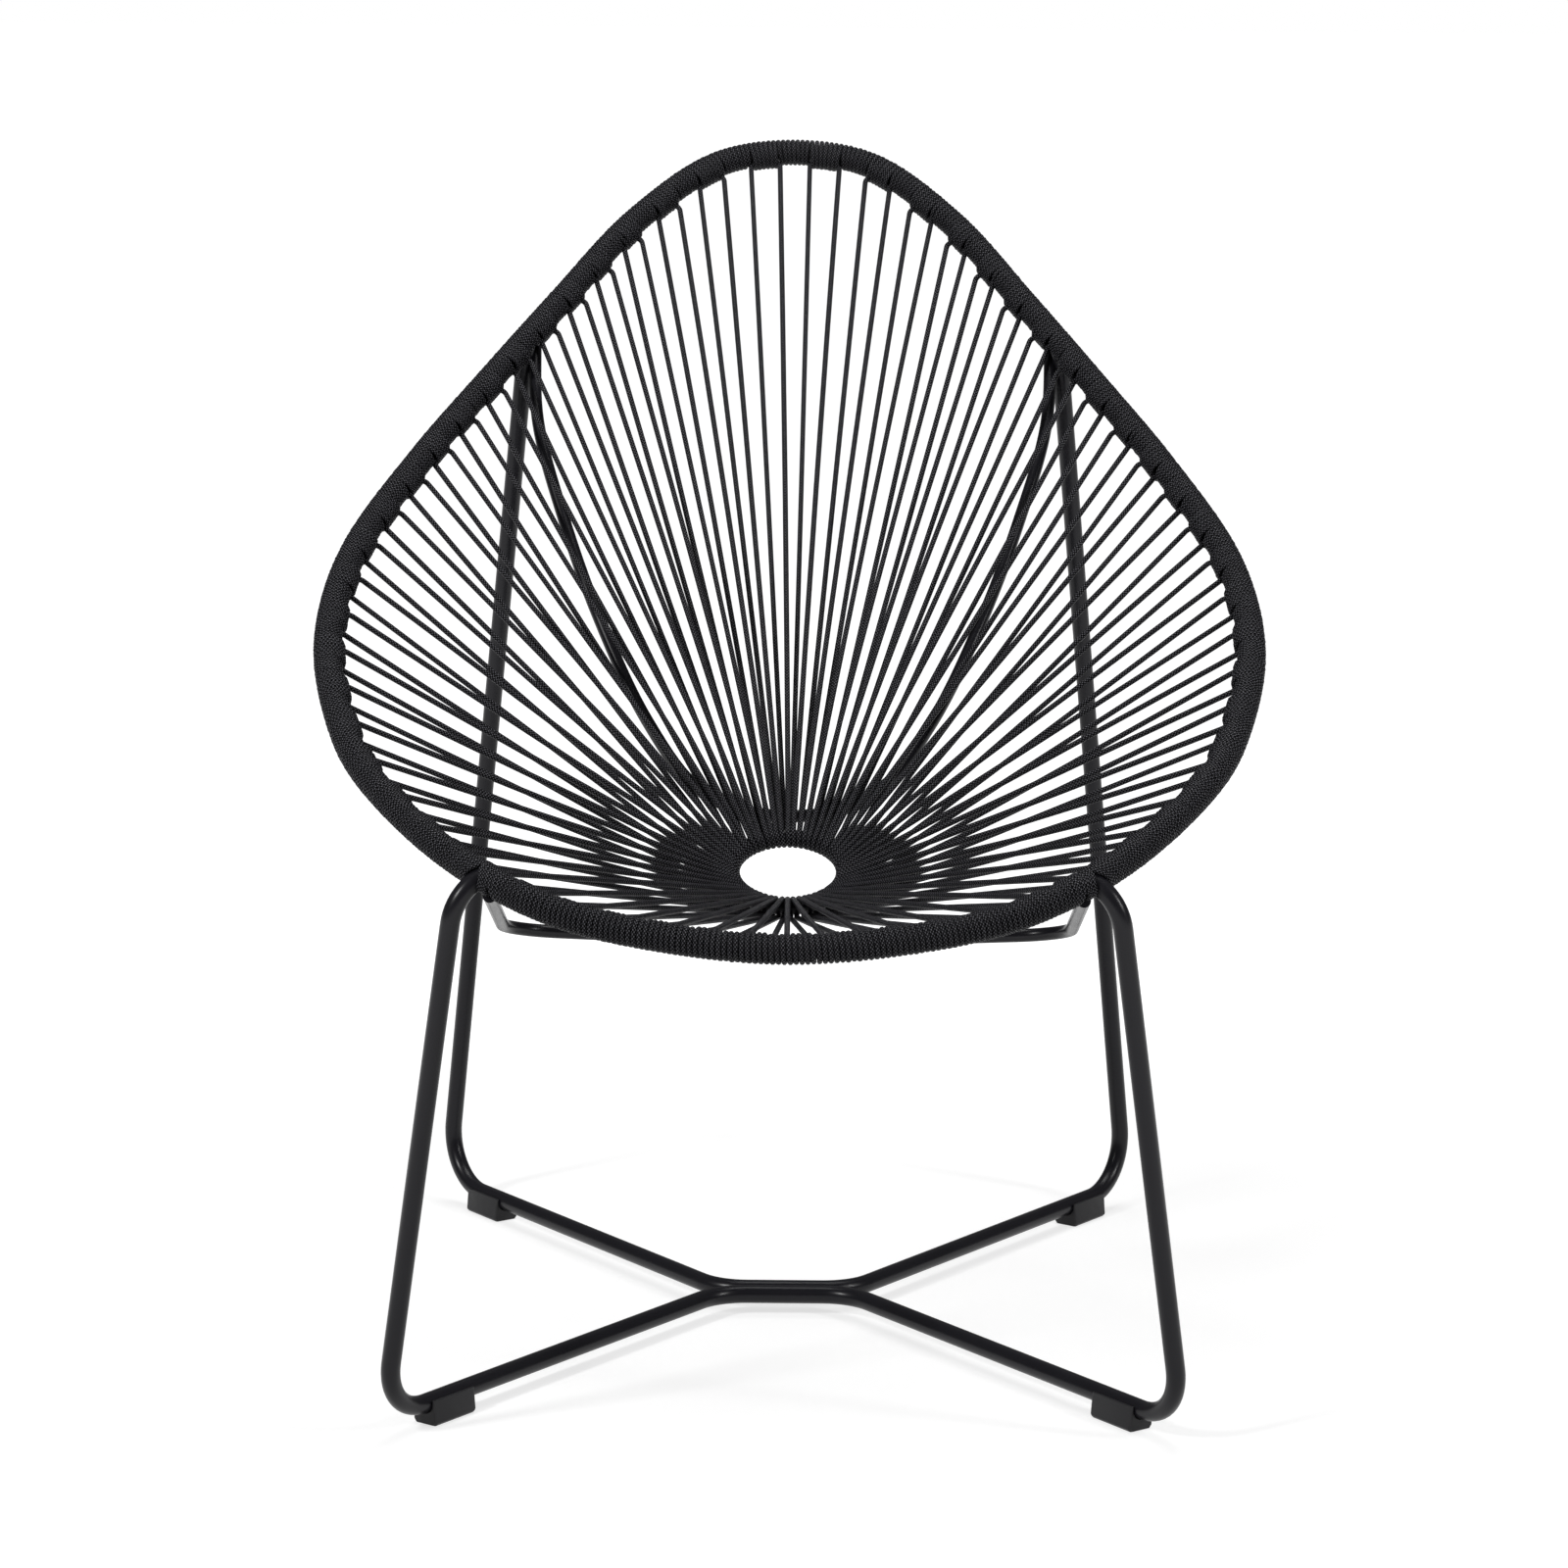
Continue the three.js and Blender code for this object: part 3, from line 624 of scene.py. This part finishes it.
def floorCorners(side):
    spacing = hoop["tubeRadius"] + steel["touchGap"] / 2
    return [
        Vector((steel["baseHalfWidth"], steel["baseBehindMiddle"] + side * steel["baseHalfDepth"],
                steel["floorTubeHeight"])),
        Vector((steel["baseCrossHalf"], steel["baseBehindMiddle"] + side * spacing,
                steel["floorTubeHeight"])),
    ]


def bothSides(radii):
    return radii + radii[::-1]


def rodSeat(share):
    # where a rod laps the side of the hoop that is away from the sitter
    point, _, _, behind = onHoop(share)
    return point + behind * (hoop["tubeRadius"] + steel["rodSeatShare"] * steel["rodRadius"])


def amongCords(turn, share):
    # a place on the surface that the cords span
    return onHoop(hoopShare(turn))[0].lerp(onRing(turn), share)


def behindCords(turn, share, distance):
    place = amongCords(turn, share)
    acrossCords = amongCords(turn + 1 / rope["cords"], share) - place
    return place + (onRing(turn) - place).cross(acrossCords).normalized() * distance


def makeSteel():
    frontJoint = onHoop(frontShare)[0]
    frontBend = frontJoint + Vector(steel["frontBendFromJoint"])
    frontCorners = mirrored([frontJoint, frontBend, *floorCorners(-1)])
    frontRadii = [steel["frontBend"], steel["floorBend"], steel["floorBend"]]
    steelPiece("frontLegTube", bentPath(frontCorners, bothSides(frontRadii)),
               hoop["tubeRadius"], "front_leg_tube")

    rearCorners = mirrored([onHoop(rearShare)[0], *floorCorners(1)])
    steelPiece("rearLegTube", bentPath(rearCorners, [steel["floorBend"]] * 4),
               hoop["tubeRadius"], "rear_leg_tube")

    ringFront = onRing(0)
    crossDepth = ringFront.y - steel["crossAheadOfRing"]
    hoopFront = -hoop["depth"] / 2
    crossHeight = hoop["frontHeight"] + (ringFront.z - hoop["frontHeight"]) * (
        (crossDepth - hoopFront) / (ringFront.y - hoopFront)) - steel["crossUnderCords"]
    crossBend = Vector((onHoop(crossShare)[0].x + steel["crossBendOutside"], crossDepth, crossHeight))
    crossCorners = mirrored([rodSeat(crossShare), crossBend])
    crossCorners.insert(2, Vector((0, crossDepth, crossHeight - steel["crossSag"])))
    crossRadii = [steel["crossBend"], steel["crossSagRadius"], steel["crossBend"]]
    steelPiece("seatCrossRod", bentPath(crossCorners, crossRadii, math.radians(1.5)),
               steel["rodRadius"], "seat_cross_rod")

    half = [behindCords(turn, along, behind * steel["backRodBehindCords"])
            for turn, along, behind in steel["backRodShares"]]
    backCorners = mirrored([rodSeat(backRodShare), *half])
    steelPiece("backSupportRod", evenlySpaced(splineThrough(backCorners, 20, False), 120),
               steel["rodRadius"], "back_support_rod")

    steelPiece("hoopTube", hoopPoints[::8], hoop["tubeRadius"], "hoop_tube")
    ringPath = [onRing(k / ring["steps"]) for k in range(ring["steps"] + 1)]
    steelPiece("centreRing", ringPath, ring["rodRadius"], "centre_ring_rod")


makeSteel()
print("steel made")


# Rope

winding = {
    "pitch": 0.00397,
    "steps": 16,
    "sides": 8,
    "ropeRadius": 0.00198,
    "looseness": 0.0006,
    "seed": 4,
    "bulge": 0.0028,
    "bulgeEdge": 0.003,
    "extra": 0.01,  # share of the hoop carried on past both ends of the winding
    "cordPush": 0.0014,
    "cordPushReach": 0.005,
    "legPush": 0.0066,
    "legPushReach": 0.02,
    "rodPush": 0.0035,
    "rodPushReach": 0.012,
}


def pushAt(share, centres, push, reach):
    total = 0
    for centre in centres:
        away = ((share - centre + 0.5) % 1 - 0.5) * hoopLength
        total += math.copysign(push, away) * math.exp(-abs(away) / reach)
    return total


def nearest(share, places):
    return min(places, key=lambda place: abs((share - place[0] + 0.5) % 1 - 0.5))[1]


def makeWinding():
    cords = [cordShare(n) % 1 for n in range(rope["cords"])]
    legs = []
    rods = []
    for joint, outward in ((frontShare, 0.9), (rearShare, 0)):
        for share in (joint, 1 - joint):
            _, _, inward, behind = onHoop(share)
            legs.append((share, (behind - outward * inward).normalized()))
    for joint in (crossShare, backRodShare):
        for share in (joint, 1 - joint):
            rods.append((share, onHoop(share)[3]))
    count = hoop["stations"]
    first = -round(winding["extra"] * count)
    points, inwards, bulges = [], [], []
    pushes = {"cord": [], "leg": [], "rod": []}
    sides = {"cord": [], "leg": [], "rod": []}
    wide = []
    for m in range(rope["cords"] // 2):
        start, end = cordShare(2 * m), cordShare(2 * m + 1)
        wide.append(((start + end) / 2 % 1, (end - start) * hoopLength / 2))
    for k in range(first, count - first + 1):
        share = k / count
        point, _, inward, _ = onHoop(share)
        points.append(point)
        inwards.append(inward)
        bulge = 0
        for middle, half in wide:
            away = abs((share - middle + 0.5) % 1 - 0.5) * hoopLength
            edge = (half - away) / winding["bulgeEdge"]
            bulge = max(bulge, min(1, max(0, edge)))
        bulges.append(winding["bulge"] * bulge * bulge * (3 - 2 * bulge))
        near = [c for c in cords if abs((share - c + 0.5) % 1 - 0.5) < 0.02]
        pushes["cord"].append(pushAt(share, near, winding["cordPush"], winding["cordPushReach"]))
        sides["cord"].append(inward)
        for label, joints in (("leg", legs), ("rod", rods)):
            push, reach = winding[label + "Push"], winding[label + "PushReach"]
            pushes[label].append(pushAt(share, [s for s, _ in joints], push, reach))
            sides[label].append(nearest(share, joints))
    attributes = [("inward", "FLOAT_VECTOR", inwards), ("bulge", "FLOAT", bulges)]
    for label in pushes:
        attributes.append((label + "Push", "FLOAT", pushes[label]))
        attributes.append((label + "Side", "FLOAT_VECTOR", sides[label]))
    piece = applyTree(pathMesh("hoopWinding", [points], attributes), windingTree(), {
        "Turns": float(round(hoopLength / winding["pitch"])),
        "Steps in a turn": winding["steps"],
        "Wound from": -first / count * hoopLength,
        "Wound length": hoopLength,
        "Core radius": hoop["tubeRadius"] + rope["radius"],
        "Rope radius": winding["ropeRadius"],
        "Sides": winding["sides"],
        "Looseness": winding["looseness"],
        "Seed": winding["seed"],
        "Material": ropeLook,
    })
    return finishPiece(piece, "rope", *[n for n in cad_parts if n.startswith("hoop_rope")])


loops = {
    "radius": 0.00218,
    "bend": 0.0055,
    "sides": 8,
    "ringSteps": 12,
    "exitJitter": 0.0005,
    "ringJitter": 0.08,  # in loop spacings
    "ringLean": 0.5,  # in cord spacings, to each side of the loop's middle
    "leanJitter": 0.28,
    "sway": 0.001,
    "seed": 11,
}


def makeCords():
    chance = random.Random(loops["seed"])
    wrap = ring["rodRadius"] + loops["radius"]
    seat = hoop["tubeRadius"] + loops["radius"]

    def innerSide(share):
        point, _, inward, _ = onHoop(share)
        return point + inward * seat

    def swaying(start, end):
        # a taut cord is not quite a straight line
        run = end - start
        across = run.cross(ringNormal).normalized()
        lean = chance.uniform(-1, 1) * loops["sway"]
        return [start.lerp(end, t) + across * lean * math.sin(math.pi * t) for t in (0.25, 0.5, 0.75)]

    paths = []
    for m in range(rope["cords"] // 2):
        # the loop leans round the ring, so that its lower cord lies beside its upper one
        middle = 2 * m - 0.5 + 2 * chance.uniform(-1, 1) * loops["ringJitter"]
        lean = loops["ringLean"] + chance.uniform(-1, 1) * loops["leanJitter"]
        ends = []
        for number in (2 * m, 2 * m - 1):
            share = cordShare(number) + chance.uniform(-1, 1) * loops["exitJitter"] / hoopLength
            exitPoint = innerSide(share)
            gapSide = 1 if number % 2 == 0 else -1
            runEnd = innerSide((cordShare(number) + cordShare(number + gapSide)) / 2)
            turn = (middle + gapSide * lean) / rope["cords"]
            outward = ringOutward(turn)
            reach = exitPoint - onRing(turn)
            flat = Vector((reach.dot(outward), reach.dot(ringNormal)))
            ends.append((exitPoint, runEnd, math.atan2(flat.y, flat.x), math.acos(wrap / flat.length)))
        firstAngle = ends[0][2] + ends[0][3]
        lastAngle = ends[1][2] - ends[1][3] + 2 * math.pi
        arc = []
        for step in range(loops["ringSteps"] + 1):
            part = step / loops["ringSteps"]
            angle = firstAngle + (lastAngle - firstAngle) * part
            turn = (middle + (1 - 2 * part) * lean) / rope["cords"]
            side = ringOutward(turn) * math.cos(angle) + ringNormal * math.sin(angle)
            arc.append(onRing(turn) + side * wrap)
        down = bentPath([ends[0][1], ends[0][0], arc[0]], [loops["bend"]], math.radians(15))
        back = bentPath([arc[-1], ends[1][0], ends[1][1]], [loops["bend"]], math.radians(15))
        down[-1:] = swaying(down[-2], arc[0])
        back[:1] = swaying(arc[-1], back[1])
        paths.append(down + arc + back)
    piece = applyTree(pathMesh("seatCords", paths), sweep, {
        "Radius": loops["radius"], "Sides": loops["sides"], "Material": ropeLook,
    })
    return finishPiece(piece, "rope", *[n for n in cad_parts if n.startswith("seat_rope")])


makeWinding()
print("winding made")
makeCords()
print("cords made")


# Glides

glide = {
    "length": 0.046,
    "wall": 0.0041,
    "lip": 0.0017,
    "fromCorner": 0.068,
    "rise": 0.0034,  # of the walls above the axis of the tube
    "edge": 0.0022,
    "endDraw": 0.0016,
    "bevel": 0.0007,
    "bedSteps": 14,
}


def glideSection(height, draw):
    # half-round bed for the tube, walls that thin towards the lip, draw narrows the foot at the ends
    bed = hoop["tubeRadius"] + steel["touchGap"] / 2
    wide = bed + glide["wall"] - draw
    lip = bed + glide["lip"]
    top = height + glide["rise"]
    outer = [
        (-lip, top), (-wide, glide["edge"] + draw), (-wide + glide["edge"], draw * 0.4),
        (wide - glide["edge"], draw * 0.4), (wide, glide["edge"] + draw), (lip, top),
    ]
    inner = [(bed, top)]
    for k in range(glide["bedSteps"] + 1):
        angle = -math.pi * k / glide["bedSteps"]
        inner.append((bed * math.cos(angle), height + bed * math.sin(angle)))
    inner.append((-bed, top))
    return outer + inner


def makeGlide(name, node, depthSide, widthSide):
    corner, middle = floorCorners(depthSide)
    corner.x *= widthSide
    middle.x *= widthSide
    run = (middle - corner).normalized()
    across = Vector((-run.y, run.x, 0))
    centre = corner + run * glide["fromCorner"]
    half = glide["length"] / 2
    mesh = bpy.data.meshes.new(name)
    bm = bmesh.new()
    sections = []
    for place, draw in ((-half, glide["endDraw"]), (-half + 0.002, 0.0), (0.0, 0.0),
                        (half - 0.002, 0.0), (half, glide["endDraw"] * 0.6)):
        sections.append([
            bm.verts.new(centre + run * place + across * a + Vector((0, 0, z - centre.z)))
            for a, z in glideSection(centre.z, draw)
        ])
    size = len(sections[0])
    for a, b in zip(sections, sections[1:]):
        for k in range(size):
            bm.faces.new((a[k], a[(k + 1) % size], b[(k + 1) % size], b[k]))
    bm.faces.new(reversed(sections[0]))
    bm.faces.new(sections[-1])
    bmesh.ops.recalc_face_normals(bm, faces=bm.faces)
    bm.to_mesh(mesh)
    bm.free()
    piece = bpy.data.objects.new(name, mesh)
    bpy.context.scene.collection.objects.link(piece)
    mesh.materials.append(plasticLook)
    mesh.shade_smooth()
    soften = piece.modifiers.new("Rounded edges", "BEVEL")
    soften.width = glide["bevel"]
    soften.segments = 3
    soften.limit_method = "ANGLE"
    soften.angle_limit = math.radians(28)
    soften.harden_normals = True
    return finishPiece(piece, "glide", node)


for row, depthSide in (("Front", -1), ("Rear", 1)):
    for flank, widthSide in (("Left", -1), ("Right", 1)):
        makeGlide(f"glide{row}{flank}", f"glide_{row.lower()}_{flank.lower()}", depthSide, widthSide)
print("glides made")


# Studio

studio = {
    "floorSize": 60,
    "floorColour": 0.42,
    "glowNear": 0.7,  # added to the lit floor for the camera and in reflections, close to the chair
    "glowFar": 1.0,
    "glowFrom": 0.5,
    "glowTo": 1.4,
    "worldFill": 0.13,
    "softboxes": [  # name, place, aimed at, size and power
        ("keyLeft", (-2.6, -2.4, 2.9), (0, 0, 0.4), (0.5, 0.7), 95),
        ("fillRight", (2.8, -1.6, 2.2), (0, 0, 0.4), (0.35, 1.3), 45),
        ("overhead", (0.2, 0.6, 3.4), (0, 0, 0.3), (1.6, 1.6), 45),
    ],
}


def rayKinds(nodes, links, *kinds):
    # 1 for the kinds of ray that are named
    rays = nodes.new("ShaderNodeLightPath")
    seen = rays.outputs[kinds[0]]
    for kind in kinds[1:]:
        seen = shaderMath(nodes, links, "MAXIMUM", seen, rays.outputs[kind])
    return seen


def makeFloor():
    bpy.ops.mesh.primitive_plane_add(size=studio["floorSize"])
    floor = bpy.context.object
    floor.name = "floor"
    material, nodes, links, shader = newMaterial("whiteFloor")
    value = studio["floorColour"]
    shader.inputs["Base Color"].default_value = (value, value, value, 1)
    shader.inputs["Roughness"].default_value = 1
    shader.inputs["Specular IOR Level"].default_value = 0
    shader.inputs["Emission Color"].default_value = (1, 1, 1, 1)
    seen = rayKinds(nodes, links, "Is Camera Ray", "Is Glossy Ray", "Is Transmission Ray")
    coordinate = nodes.new("ShaderNodeTexCoord")
    away = nodes.new("ShaderNodeVectorMath")
    away.operation = "LENGTH"
    links.new(coordinate.outputs["Object"], away.inputs[0])
    glow = nodes.new("ShaderNodeMapRange")
    glow.interpolation_type = "SMOOTHSTEP"
    links.new(away.outputs["Value"], glow.inputs["Value"])
    for label, key in (("From Min", "glowFrom"), ("From Max", "glowTo"),
                       ("To Min", "glowNear"), ("To Max", "glowFar")):
        glow.inputs[label].default_value = studio[key]
    glowing = shaderMath(nodes, links, "MULTIPLY", seen, glow.outputs[0])
    links.new(glowing, shader.inputs["Emission Strength"])
    floor.data.materials.append(material)


def makeWorld():
    world = bpy.data.worlds.new("whiteStudio")
    bpy.context.scene.world = world
    world.use_nodes = True
    nodes = world.node_tree.nodes
    links = world.node_tree.links
    background = next(n for n in nodes if n.type == "BACKGROUND")
    background.inputs["Color"].default_value = (1, 1, 1, 1)
    seen = rayKinds(nodes, links, "Is Camera Ray", "Is Transmission Ray")
    strength = nodes.new("ShaderNodeMix")
    links.new(seen, strength.inputs[0])
    strength.inputs[2].default_value = studio["worldFill"]
    strength.inputs[3].default_value = 1
    links.new(strength.outputs[0], background.inputs["Strength"])


def softbox(name, place, target, size, power):
    light = bpy.data.lights.new(name, "AREA")
    light.shape = "RECTANGLE"
    light.size, light.size_y = size
    light.energy = power
    lamp = bpy.data.objects.new(name, light)
    bpy.context.scene.collection.objects.link(lamp)
    lamp.location = place
    lamp.rotation_euler = (Vector(target) - Vector(place)).to_track_quat("-Z", "Y").to_euler()


camera = {
    "place": (0.0071, -3.7135, 1.1312),
    "pitch": math.radians(10.723),  # down
    "yaw": math.radians(0.124),
    "roll": math.radians(0.45),
    "lens": 112.16,
    "shift": (-0.0022, 0.0007),
}


def makeCamera():
    data = bpy.data.cameras.new("camera")
    data.lens = camera["lens"]
    data.sensor_width = 36
    data.shift_x, data.shift_y = camera["shift"]
    data.clip_end = 200
    eye = bpy.data.objects.new("camera", data)
    bpy.context.scene.collection.objects.link(eye)
    eye.location = camera["place"]
    turned = (Matrix.Rotation(camera["yaw"], 3, "Z")
              @ Matrix.Rotation(math.pi / 2 - camera["pitch"], 3, "X")
              @ Matrix.Rotation(camera["roll"], 3, "Z"))
    eye.rotation_euler = turned.to_euler()
    bpy.context.scene.camera = eye


makeFloor()
makeWorld()
for values in studio["softboxes"]:
    softbox(*values)
makeCamera()
bpy.context.scene.view_settings.view_transform = "Standard"
print("studio made")
